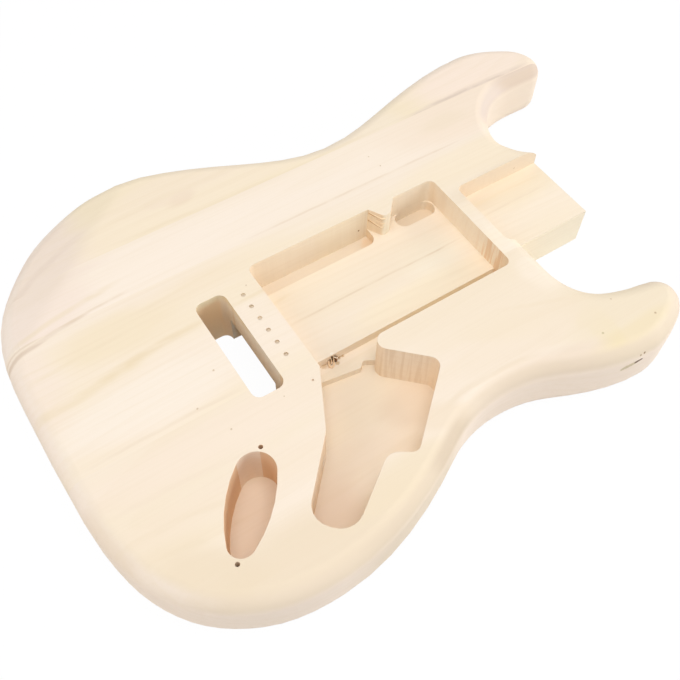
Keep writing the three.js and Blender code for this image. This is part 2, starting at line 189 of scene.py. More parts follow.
# %% Lamps
# Each lamp has its place and its side in metres, and its power in watts.
LAMPS = {
    "overhead": ((-0.08, -0.24, 1.47), 0.8, 8.5),
    "neck_side": ((1.62, -0.86, 0.35), 1.6, 23.0),
    "tail_side": ((-1.70, -0.10, 1.02), 1.6, 9.0),
}


def make_lamp(name, place, side, power):
    """A square lamp at a place, facing the middle of the body."""
    data = bpy.data.lights.new(name, "AREA")
    data.shape = "SQUARE"
    data.size = side
    data.energy = power
    lamp = bpy.data.objects.new(name, data)
    lamp.location = place
    lamp.rotation_euler = (-Vector(place)).to_track_quat("-Z", "Y").to_euler()
    bpy.context.scene.collection.objects.link(lamp)


for lamp_name, (lamp_place, lamp_side, lamp_power) in LAMPS.items():
    make_lamp(lamp_name, lamp_place, lamp_side, lamp_power)
    print(lamp_name, "lamp at", lamp_place, "of", lamp_power, "watts")
bpy.context.scene.view_settings.view_transform = "Standard"

# %% [markdown]
# ## Finding the cut surfaces
# Sandpaper leaves the outside smooth, and a router leaves walls and floors that are warmer
# and rougher. The two never meet without a sharp edge: faces joined by gentle edges form
# patches, the largest patch of a board is its sanded skin, and any other patch that lies
# in the reach of a router is a cut. Flat areas are first made whole again, so that
# a broken edge and smooth shading come out clean.

# %% Flat areas made whole
BOARD_NAMES = ("treble_board", "centre_board", "bass_inner_board", "bass_outer_board")
JOIN_DISTANCE = 0.002 * MM
FLAT = math.radians(0.2)


def merged_copy(name):
    """Copy of a board's CAD mesh with its loose triangles joined and flat areas made whole."""
    work = bmesh.new()
    work.from_mesh(nodes[name].data)
    bmesh.ops.remove_doubles(work, verts=work.verts, dist=JOIN_DISTANCE)
    bmesh.ops.dissolve_limit(work, angle_limit=FLAT, verts=work.verts, edges=work.edges)
    mesh = bpy.data.meshes.new(name + "_skin")
    work.to_mesh(mesh)
    work.free()
    return mesh


skins = {name: merged_copy(name) for name in BOARD_NAMES}
for name, skin_mesh in skins.items():
    print(name, "triangles", len(nodes[name].data.polygons), "whole faces", len(skin_mesh.polygons))

# %% Bends and patches
SHARP = math.radians(30)


def read(items, name, kind=float, width=1):
    """One property of all items of a mesh as an array, with a row for each item where it is wide."""
    values = np.empty(len(items) * width, kind)
    items.foreach_get(name, values)
    return values.reshape(-1, width) if width > 1 else values


def face_pairs(mesh):
    """For each edge its two faces, its direction as the first face runs along it, and its ends."""
    loop_vertex = read(mesh.loops, "vertex_index", int)
    totals = read(mesh.polygons, "loop_total", int)
    loop_face = np.repeat(np.arange(len(totals)), totals)
    pairs = np.argsort(read(mesh.loops, "edge_index", int), kind="stable").reshape(-1, 2)
    vertices = read(mesh.edges, "vertices", int, 2)
    ends = read(mesh.vertices, "co", float, 3)[vertices]
    along = ends[:, 1] - ends[:, 0]
    along[loop_vertex[pairs[:, 0]] != vertices[:, 0]] *= -1
    return loop_face[pairs], along, ends


def edge_bends(mesh):
    """Signed bend of each edge in radians: the angle between the normals of its two faces,
    positive where they meet in a ridge."""
    faces, along, ends = face_pairs(mesh)
    normals = read(mesh.polygons, "normal", float, 3)
    first, second = normals[faces[:, 0]], normals[faces[:, 1]]
    bend = np.arccos(np.clip((first * second).sum(1), -1, 1))
    side = np.sign((np.cross(first, second) * along).sum(1))
    return faces, bend * side, ends


def patches(count, faces, gentle):
    """Patch number of each face: the lowest face number that gentle edges lead to."""
    label = np.arange(count)
    joined = faces[gentle]
    while True:
        low = label[joined].min(1)
        new = label.copy()
        np.minimum.at(new, joined[:, 0], low)
        np.minimum.at(new, joined[:, 1], low)
        new = new[new]
        if (new == label).all():
            return label
        label = new


for name, skin_mesh in skins.items():
    print(name, "sharp edges:", int((np.abs(edge_bends(skin_mesh)[1]) > SHARP).sum()))

# %% Reach of the routers
# Low and high corners in millimetres: pickup route with the controls, jack, slot, neck, springs.
ROUTER_REACH = np.array([
    ((-128, -147, 11), (78.5, 41, 46)),
    ((-171, -125, 10), (-124, -79, 46)),
    ((-115, -49, -1), (-92, 32, 46)),
    ((87, -33, 29), (162.4, 25, 46)),
    ((-94, -33, -1), (12, 25, 24)),
])


def in_router_reach(mesh):
    """True for each face whose middle lies in one of the boxes that a router worked in."""
    middle = read(mesh.polygons, "center", float, 3)[:, None] / MM
    inside = (middle > ROUTER_REACH[:, 0]) & (middle < ROUTER_REACH[:, 1])
    return inside.all(2).any(1)


for name, skin_mesh in skins.items():
    print(name, "faces in reach of a router:", int(in_router_reach(skin_mesh).sum()))

# %% [markdown]
# ## Board surfaces
# Bare wood has no perfectly sharp edge: a light stroke of sandpaper leaves a narrow arris
# round each route. A bevel by edge weight gives it to the ridges alone and spares the glue
# lines, where two boards meet with no gap. The weighted shading keeps the flats flat.

# %% Board surfaces
ARRIS = 0.35 * MM
ARRIS_SEGMENTS = 2
FLAT_SHADING_WEIGHT = 80
SEAM_TOLERANCE = 0.02 * MM
seams = sorted({round(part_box(name)[i].y, 6) for name in BOARD_NAMES for i in (0, 1)})[1:-1]
print("glue lines at y in mm:", [round(seam / MM, 1) for seam in seams])


def mark(mesh, name, kind, domain, values):
    """Stores a value for each face or edge of a mesh under a name."""
    mesh.attributes.new(name, kind, domain).data.foreach_set("value", values)


def mark_surfaces(mesh):
    """Each face says if it was routed, and each ridge that is no glue line gets the arris's weight."""
    faces, bend, ends = edge_bends(mesh)
    on_seam = np.zeros(len(bend), bool)
    for seam in seams:
        on_seam |= (np.abs(ends[:, :, 1] - seam) < SEAM_TOLERANCE).all(1)
    sharp = np.abs(bend) > SHARP
    ridge = (bend > SHARP) & ~on_seam
    area = read(mesh.polygons, "area")
    label = patches(len(area), faces, ~sharp)
    skin = np.bincount(label, weights=area, minlength=len(area)).argmax()
    cut = (label != skin) & in_router_reach(mesh)
    mark(mesh, "routed", "FLOAT", "FACE", cut.astype(np.float32))
    mark(mesh, "sharp_edge", "BOOLEAN", "EDGE", sharp)
    mark(mesh, "bevel_weight_edge", "FLOAT", "EDGE", ridge.astype(np.float32))
    mesh.polygons.foreach_set("use_smooth", np.ones(len(area), bool))
    return int(cut.sum()), int(ridge.sum())


def dress_board(name, material):
    """A board's fine surface, in the place of its CAD node."""
    mesh = skins[name]
    routed, ridges = mark_surfaces(mesh)
    mesh.materials.clear()
    mesh.materials.append(material)
    board = bpy.data.objects.new(name + "_wood", mesh)
    bpy.context.scene.collection.objects.link(board)
    bevel = board.modifiers.new("arris", "BEVEL")
    bevel.limit_method = "WEIGHT"
    bevel.width = ARRIS
    bevel.segments = ARRIS_SEGMENTS
    bevel.use_clamp_overlap = True
    level = board.modifiers.new("level_shading", "WEIGHTED_NORMAL")
    level.keep_sharp = True
    level.weight = FLAT_SHADING_WEIGHT
    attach(board, "root")
    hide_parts(name)
    print(name, "faces", len(mesh.polygons), "routed", routed, "arris edges", ridges)


# %% [markdown]
# ## Wood
# A board is a slice of a trunk, so its figure is one solid pattern: rings round a pith
# that runs along the board, far outside it. On the faces they show as long lines and
# slow curves, and on the cross-cut walls as short arcs, with nothing painted separately.
# The same group serves every board, each with its own pith and its own tones.

# %% Colours as they look on screen


def linear(red, green, blue):
    """Scene colour of a tone given as it looks on screen, 0 to 255 a channel, by the sRGB curve."""
    def channel(value):
        share = value / 255
        return share / 12.92 if share <= 0.04045 else ((share + 0.055) / 1.055) ** 2.4
    return (channel(red), channel(green), channel(blue), 1)


print("a mid grey of 128 on screen is", round(linear(128, 128, 128)[0], 3), "in the scene")

# %% Node helpers
FLOAT, VECTOR = "NodeSocketFloat", "NodeSocketVector"


class Tree:
    """Short ways to add and join nodes in one node tree."""

    def __init__(self, tree):
        self.tree = tree

    def put(self, socket, value):
        if isinstance(value, bpy.types.NodeSocket):
            self.tree.links.new(value, socket)
        else:
            socket.default_value = value

    def math(self, operation, first, second=0.0):
        node = self.tree.nodes.new("ShaderNodeMath")
        node.operation = operation
        self.put(node.inputs[0], first)
        self.put(node.inputs[1], second)
        return node.outputs[0]

    def add(self, first, second):
        return self.math("ADD", first, second)

    def minus(self, first, second):
        return self.math("SUBTRACT", first, second)

    def times(self, first, second):
        return self.math("MULTIPLY", first, second)

    def over(self, first, second):
        return self.math("DIVIDE", first, second)

    def length(self, first, *others):
        """Root of the sum of the squares."""
        total = self.times(first, first)
        for part in others:
            total = self.add(total, self.times(part, part))
        return self.math("SQRT", total)

    def remap(self, value, low, high, to_low=0.0, to_high=1.0, smooth=True):
        """Runs from to_low at low to to_high at high, and stays level past both."""
        node = self.tree.nodes.new("ShaderNodeMapRange")
        node.interpolation_type = "SMOOTHSTEP" if smooth else "LINEAR"
        sockets = ("Value", "From Min", "From Max", "To Min", "To Max")
        for name, given in zip(sockets, (value, low, high, to_low, to_high)):
            self.put(node.inputs[name], given)
        return node.outputs[0]

    def mix(self, share, first, second, blend="MIX"):
        """Colour that goes from the first to the second: its colour sockets are 6 and 7, and 2 comes out."""
        node = self.tree.nodes.new("ShaderNodeMix")
        node.data_type = "RGBA"
        node.blend_type = blend
        self.put(node.inputs[0], share)
        self.put(node.inputs[6], first)
        self.put(node.inputs[7], second)
        return node.outputs[2]

    def noise(self, place, waves, detail=2.0, rough=0.5):
        """Soft noise of 0 to 1, with the given waves a metre along each axis."""
        stretch = self.tree.nodes.new("ShaderNodeMapping")
        self.put(stretch.inputs["Vector"], place)
        stretch.inputs["Scale"].default_value = waves
        node = self.tree.nodes.new("ShaderNodeTexNoise")
        self.put(node.inputs["Vector"], stretch.outputs[0])
        node.inputs["Scale"].default_value = 1.0
        node.inputs["Detail"].default_value = detail
        node.inputs["Roughness"].default_value = rough
        return node.outputs["Fac"]

    def sway(self, place, waves, detail=2.0):
        """The same noise about zero."""
        return self.minus(self.noise(place, waves, detail), 0.5)

    def split(self, vector):
        node = self.tree.nodes.new("ShaderNodeSeparateXYZ")
        self.put(node.inputs[0], vector)
        return node.outputs


# %% Node groups


def new_group(name, inputs, outputs):
    """A shader node group with float or vector sockets, and its input and output nodes."""
    group = bpy.data.node_groups.new(name, "ShaderNodeTree")
    for socket_name, kind, default in inputs:
        socket = group.interface.new_socket(socket_name, in_out="INPUT", socket_type=kind)
        if default is not None:
            socket.default_value = default
    for socket_name in outputs:
        group.interface.new_socket(socket_name, in_out="OUTPUT", socket_type=FLOAT)
    given = group.nodes.new("NodeGroupInput").outputs
    made = group.nodes.new("NodeGroupOutput").inputs
    return group, Tree(group), given, made


def use_group(tree, group, **values):
    """Places a group in a tree, with socket names given with _ for each space."""
    node = tree.tree.nodes.new("ShaderNodeGroup")
    node.node_tree = group
    for name, value in values.items():
        tree.put(node.inputs[name.replace("_", " ")], value)
    return node.outputs


# %% Rings, fibres and clouds
BEND_WAVES = (3.2, 6, 6)
YEAR_WAVES = (5, 40, 40)
YEAR_UNEVENNESS = 1.2
LATE_WOOD_RISE = (0.35, 0.93)
LATE_WOOD_FALL = (1.0, 0.95)
FIBRE_WAVES = (11, 620, 620)
FIBRE_ROUGHNESS = 0.62
FIBRE_RANGE = (0.42, 0.72)
CLOUD_WAVES = (5, 26, 12)
CLOUD_ROUGHNESS = 0.45
CLOUD_RANGE = (0.36, 0.64)


def make_figure_group():
    """Years passed: distance from the pith, bent by slow noise, over the ring width. Rings: a thin
    late line at the end of each year. Year: one random value for each. Fibres: fine streaks along
    the board. Clouds: wide soft patches. All are 0 to 1 on object coordinates in metres."""
    group, t, given, made = new_group("board_figure", [
        ("Place", VECTOR, None), ("Pith Y", FLOAT, 0.0), ("Pith Z", FLOAT, -0.1),
        ("Lean", FLOAT, 0.0), ("Ring Width", FLOAT, 0.005), ("Wander", FLOAT, 0.01), ("Seed", FLOAT, 0.0),
    ], ["Rings", "Fibres", "Clouds", "Year"])
    x, y, z = t.split(given["Place"])
    seeded = t.tree.nodes.new("ShaderNodeCombineXYZ")
    t.put(seeded.inputs[0], x)
    t.put(seeded.inputs[1], t.add(y, given["Seed"]))
    t.put(seeded.inputs[2], z)
    place = seeded.outputs[0]
    bend = t.times(t.sway(place, BEND_WAVES, detail=1), given["Wander"])
    across = t.add(t.minus(y, given["Pith Y"]), t.times(x, given["Lean"]))
    radius = t.length(t.add(across, bend), t.add(t.minus(z, given["Pith Z"]), bend))
    uneven = t.times(t.noise(place, YEAR_WAVES, detail=1), YEAR_UNEVENNESS)
    years = t.add(t.over(radius, given["Ring Width"]), uneven)
    share = t.math("FRACT", years)
    t.put(made["Rings"], t.times(t.remap(share, *LATE_WOOD_RISE), t.remap(share, *LATE_WOOD_FALL)))
    white = t.tree.nodes.new("ShaderNodeTexWhiteNoise")
    white.noise_dimensions = "1D"
    t.put(white.inputs["W"], t.math("FLOOR", years))
    t.put(made["Year"], white.outputs["Value"])
    fine = t.noise(place, FIBRE_WAVES, detail=3, rough=FIBRE_ROUGHNESS)
    t.put(made["Fibres"], t.remap(fine, *FIBRE_RANGE))
    wide = t.noise(place, CLOUD_WAVES, rough=CLOUD_ROUGHNESS)
    t.put(made["Clouds"], t.remap(wide, *CLOUD_RANGE))
    return group


board_figure = make_figure_group()
print("board_figure has", len(board_figure.nodes), "nodes")

# %% What worked a surface
# A facing is the share of the normal along an axis, and a height is in metres.
END_GRAIN_FACING = (0.35, 0.95)
LEVEL_FACING = (0.5, 0.9)
RIM_FACING = (1.0, 0.80)
SIDE_FACING = (0.50, 0.10)
SUNKEN_HEIGHTS = (24 * MM, 22 * MM)
WALL_TOP_HEIGHTS = (36 * MM, 44 * MM)
CHATTER_WAVES = (420, 420, 18)
PORE_WAVES = (5, 430, 25)
PORE_RANGE = (0.45, 0.6)


def make_cut_group():
    """Where a surface faces and what worked it: end grain, routed walls with their fine upright
    chatter and their top, routed floors and the sunken ones among them, the rounded rim with the
    outside wall below it, that wall alone, and open pores."""
    group, t, given, made = new_group("router_work", [
        ("Place", VECTOR, None), ("Facing", VECTOR, None), ("Routed", FLOAT, 0.0),
    ], ["End Grain", "Chatter", "Floor", "Sunken", "Wall", "Wall Top", "Edge", "Side", "Pores"])
    facing = t.split(given["Facing"])
    height = t.split(given["Place"])["Z"]
    level = t.remap(facing["Z"], *LEVEL_FACING)
    floor = t.times(level, given["Routed"])
    wall = t.times(t.minus(1.0, level), given["Routed"])
    skin = t.minus(1.0, given["Routed"])
    layers = t.remap(t.noise(given["Place"], PORE_WAVES), *PORE_RANGE)
    t.put(made["End Grain"], t.remap(t.math("ABSOLUTE", facing["X"]), *END_GRAIN_FACING))
    t.put(made["Wall"], wall)
    t.put(made["Chatter"], t.times(t.noise(given["Place"], CHATTER_WAVES), wall))
    t.put(made["Floor"], floor)
    t.put(made["Sunken"], t.times(floor, t.remap(height, *SUNKEN_HEIGHTS)))
    t.put(made["Wall Top"], t.times(wall, t.remap(height, *WALL_TOP_HEIGHTS)))
    t.put(made["Edge"], t.times(t.remap(facing["Z"], *RIM_FACING), skin))
    t.put(made["Side"], t.times(t.remap(facing["Z"], *SIDE_FACING), skin))
    t.put(made["Pores"], t.times(layers, given["Routed"]))
    return group


router_work = make_cut_group()
print("router_work has", len(router_work.nodes), "nodes")

# %% [markdown]
# ## Where a board differs
# A board is never one tone. It has paler and darker zones, and single years that show as
# long lines: from half a metre away these are what the eye takes for grain. Each is placed
# where this body has it, as a soft ellipse, a fading stroke or a small spot. Some zones and
# spots are painted light and shade instead of tone.

# %% Zones
RIM_WAVES = (22, 55, 22)
RIM_SWAY = 0.7
ZONE_FADE = (1.3, 0.5)


def make_zone_group():
    """Mask of a soft ellipse: 1 where hypot(u / half length, v / half width) is small, 0 past its rim,
    with u and v turned by Turn and the rim pushed in and out by slow noise."""
    group, t, given, made = new_group("soft_zone", [
        ("Place", VECTOR, None), ("X", FLOAT, 0.0), ("Y", FLOAT, 0.0),
        ("Half Length", FLOAT, 0.05), ("Half Width", FLOAT, 0.02), ("Turn", FLOAT, 0.0),
    ], ["Mask"])
    x, y = t.split(given["Place"])[:2]
    dx = t.minus(x, given["X"])
    dy = t.minus(y, given["Y"])
    cosine = t.math("COSINE", given["Turn"])
    sine = t.math("SINE", given["Turn"])
    u = t.over(t.add(t.times(dx, cosine), t.times(dy, sine)), given["Half Length"])
    v = t.over(t.minus(t.times(dy, cosine), t.times(dx, sine)), given["Half Width"])
    rim = t.times(t.sway(given["Place"], RIM_WAVES), RIM_SWAY)
    t.put(made["Mask"], t.remap(t.add(t.length(u, v), rim), *ZONE_FADE))
    return group


soft_zone = make_zone_group()
print("soft_zone has", len(soft_zone.nodes), "nodes")

# %% Lines
LINE_WAVES = (30, 8, 8)
LINE_FADE = (0.6, 0.1)
LINE_START_FADE = (0.0, 0.2)
LINE_END_FADE = (1.0, 0.8)
LINE_BREAKS = (60, 200, 60)
LINE_BREAK_RANGE = (0.3, 0.6, 0.45, 1.0)


def make_line_group():
    """Mask of a grain line from a start to an end, Width wide and Bow off straight at its middle, which
    fades out at both ends. The bow is 4 s (1 - s) of Bow, where s is the share of the way along."""
    group, t, given, made = new_group("grain_line", [
        ("Place", VECTOR, None), ("Start X", FLOAT, 0.0), ("Start Y", FLOAT, 0.0), ("End X", FLOAT, 0.1),
        ("End Y", FLOAT, 0.0), ("Bow", FLOAT, 0.0), ("Width", FLOAT, 0.002),
    ], ["Mask"])
    x, y = t.split(given["Place"])[:2]
    run_x = t.minus(given["End X"], given["Start X"])
    run_y = t.minus(given["End Y"], given["Start Y"])
    run = t.length(run_x, run_y)
    unit_x, unit_y = t.over(run_x, run), t.over(run_y, run)
    dx = t.over(t.minus(x, given["Start X"]), run)
    dy = t.over(t.minus(y, given["Start Y"]), run)
    along = t.add(t.times(dx, unit_x), t.times(dy, unit_y))
    across = t.times(t.minus(t.times(dy, unit_x), t.times(dx, unit_y)), run)
    arch = t.times(t.times(along, t.minus(1.0, along)), 4.0)
    across = t.minus(across, t.times(arch, given["Bow"]))
    waver = t.times(t.sway(given["Place"], LINE_WAVES), given["Width"])
    across = t.math("ABSOLUTE", t.add(across, waver))
    body = t.remap(t.over(across, given["Width"]), *LINE_FADE)
    ends = t.times(t.remap(along, *LINE_START_FADE), t.remap(along, *LINE_END_FADE))
    uneven = t.remap(t.noise(given["Place"], LINE_BREAKS), *LINE_BREAK_RANGE)
    t.put(made["Mask"], t.times(t.times(body, ends), uneven))
    return group


grain_line = make_line_group()
print("grain_line has", len(grain_line.nodes), "nodes")

# %% Spots
SPOT_WAVES = (900, 900, 900)
SPOT_RAGGEDNESS = 0.6
SPOT_FADE = (1.3, 0.7)


def make_spot_group():
    """Mask of a small round spot about a point in space: 1 near it, 0 past its ragged rim."""
    group, t, given, made = new_group("small_spot", [
        ("Place", VECTOR, None), ("X", FLOAT, 0.0), ("Y", FLOAT, 0.0), ("Z", FLOAT, 0.0),
        ("Radius", FLOAT, 0.001),
    ], ["Mask"])
    away = t.length(*(t.minus(part, given[name]) for part, name in zip(t.split(given["Place"]), "XYZ")))
    ragged = t.times(t.noise(given["Place"], SPOT_WAVES, detail=1), SPOT_RAGGEDNESS)
    t.put(made["Mask"], t.remap(t.add(t.over(away, given["Radius"]), ragged), *SPOT_FADE))
    return group


small_spot = make_spot_group()
print("small_spot has", len(small_spot.nodes), "nodes")

# %% [markdown]
# ## The four boards
# Places below are millimetres in plan, as the front is seen. A zone is x, y, half length,
# half width, turn in degrees, tone and strength: `zones` lie on every surface, `edges` only
# on the rounded rim and the wall below it, `sides` only on that wall, `walls` only in the
# cavities, the wall-top zones only on the top of their walls, and `floors` only on their deep
# floors. Besides the wood's tone, `edges` hold painted shade on the rims of the treble side
# and painted light on the heel's side, `sides` are painted light and painted shade on the
# outside wall, `walls` are painted light and warm painted shade, and the wall-top zones are
# painted light.
# A line is its start, its end, its bow, its width, tone and strength. A patch of chatter is a
# zone without a tone. A spot is x, y, z, radius and tone. The pith's place and the ring width
# are in metres.

# %% Tones and places that boards share
GREY_TIP = (223, 203, 184)
SPECK = (222, 200, 172)
DARK_SPECK = (205, 178, 150)
CHIP = (104, 74, 46)
TRAIL = (216, 198, 164)
# Painted shade by the wire hole: in its ragged mouth, and on the channel floor at the foot of its wall.
RAGGED_MOUTH_SHADE = (92, 60, 34)
CHANNEL_FOOT_SHADE = (220, 192, 154)
HOLE_WALL = (218, 206, 186)
BRIDGE_HOLE_X = -82.8
BRIDGE_HOLE_COUNT = 6
BRIDGE_HOLE_SPACING = 10.5
FIRST_BRIDGE_HOLE_Y = 22.25
BRIDGE_HOLE_YS = [FIRST_BRIDGE_HOLE_Y - BRIDGE_HOLE_SPACING * index for index in range(BRIDGE_HOLE_COUNT)]
BOARDS = {}
print("bridge holes at y in mm:", BRIDGE_HOLE_YS)


def tell(name):
    """Prints how many zones, lines and spots a board has."""
    print(name, {kind: len(listed) for kind, listed in BOARDS[name].items() if isinstance(listed, list)})


# %% Treble board
BOARDS["treble_board"] = dict(
    pith=(-0.02, -0.26), lean=0.03, ring=0.0062, wander=0.05, seed=3.1,
    light=(250, 235, 217), warm=(247, 231, 207), ring_share=0.12,
    zones=[
        (-130, -143, 95, 24, 0, (240, 222, 196), 0.9),
        (-60, -136, 50, 16, 0, (244, 227, 199), 0.8),
        (-205, -108, 30, 26, 20, (245, 228, 203), 0.8),
        (-150, -58, 90, 16, 0, (250, 233, 215), 0.7),
        (-130, -92, 100, 12, -4, (248, 231, 210), 0.6),
        (40, -84, 34, 13, -30, (247, 231, 204), 0.6),
        (93, -120, 9, 20, -6, (247, 229, 186), 1.0),
        (95, -125, 6, 11, -12, (246, 228, 168), 0.9),
        (87, -108, 8, 6, 20, (248, 231, 196), 0.7),
        # This horn zone is partly the horn's own duller tone and partly painted shade that dims the light of
        # the lamp past the neck on the horn.
        (120, -112, 60, 34, -8, (244, 229, 203), 0.9),
        (98, -132, 46, 8, 4, (243, 226, 190), 0.7),
        (-24, -118, 32, 9, -25, (245, 227, 203), 0.8),
        (-186, -126, 34, 16, -35, (239, 221, 194), 0.7),
        (50, -98, 56, 16, 0, (246, 229, 207), 0.5),
        (45, -122, 40, 9, -8, (242, 224, 204), 0.9),
        (30, -70, 60, 20, -6, (247, 231, 208), 0.8),
        (88, -62, 12, 18, 0, (253, 239, 220), 0.8),
    ],
    # Edge zones here are partly the rim's own tone and partly painted shade that darkens the rounded rim
    # where the lamps catch it.
    edges=[
        (38, -134, 80, 36, -6, (234, 216, 194), 1.0),
        (118, -138, 42, 20, 0, (235, 218, 194), 1.0),
        (175, -118, 40, 30, 0, (236, 219, 199), 0.9),
        (-60, -145, 90, 30, 0, (233, 215, 191), 0.9),
        (-165, -140, 60, 40, -20, (240, 222, 199), 0.8),
        (-215, -70, 30, 70, 10, (250, 235, 221), 0.8),
        (-36, -128, 34, 16, -20, (220, 201, 177), 0.8),
        (-216, -82, 22, 26, 20, (240, 222, 200), 0.7),
    ],
    # Side zones: painted light over the outside wall, and painted shade on it at the lower bout.
    sides=[(-20, -125, 300, 120, 0, (255, 238, 221), 1.0), (-66, -148, 54, 28, 0, (238, 221, 198), 0.9)],
    # Wall zones: warm painted shade in the jack cavity, and painted light on the control cavity's wall.
    walls=[
        (-148, -101, 40, 30, 45, (245, 211, 177), 0.9),
        (-40, -75, 40, 34, -40, (255, 246, 233), 0.9),
    ],
    # Painted light on the top of the walls by the slot's treble end.
    painted_wall_top_light=[(-100, -50, 22, 18, 0, (255, 240, 208), 0.8)],
    floors=[
        (-24, -86, 24, 18, 0, (240, 221, 198), 0.8),
        (-108, -124, 30, 20, 40, (241, 221, 201), 0.9),
        (-150, -103, 36, 26, 45, (250, 233, 212), 0.8),
    ],
    lines=[
        (-228, -88, -140, -96, 2, 5.0, (241, 223, 196), 0.35),
        (-215, -120, -90, -131, -3, 7.0, (241, 224, 198), 0.35),
        (-225, -70, -120, -76, 2, 4.0, (244, 226, 204), 0.40),
        (-205, -104, -175, -108, 1, 5.0, (240, 223, 196), 0.40),
        (-30, -112, 50, -112, 4, 5.0, (238, 219, 192), 0.45),
        (40, -70, 150, -98, -6, 4.0, (243, 225, 198), 0.40),
        (-5, -64, 80, -58, 2, 4.0, (246, 229, 206), 0.35),
    ],
    chatter=[(-24, -64, 24, 26, -40, 0.5)],
    spots=[
        (112, -105, 45, 0.8, SPECK), (128, -128, 45, 1.1, (205, 180, 146)), (-135, -57, 45, 0.8, SPECK),
        (-98.7, -54.7, 45, 0.6, SPECK), (-190.2, -132, 45, 0.9, DARK_SPECK),
        (-191.6, -130, 45, 0.7, DARK_SPECK), (-188.9, -134, 45, 0.8, DARK_SPECK),
        (97.9, -143.9, 30.4, 2.8, TRAIL), (95.2, -143.4, 29.6, 2.8, TRAIL),
        (92.6, -142.8, 28.8, 2.4, TRAIL), (100.2, -144.3, 31.4, 2.2, TRAIL),
        (101.1, -144.5, 31.9, 1.7, CHIP), (102.2, -144.6, 31.9, 1.6, CHIP),
        (103.3, -144.6, 32.0, 1.4, CHIP), (104.4, -144.7, 32.2, 1.4, CHIP),
        (105.4, -144.8, 32.3, 1.0, CHIP), (106.6, -143.8, 37.3, 1.1, (160, 130, 98)),
        (103.6, -143.7, 36.9, 1.1, (196, 172, 140)), (89.5, -121.8, 45, 1.0, (214, 198, 160)),
    ])
tell("treble_board")

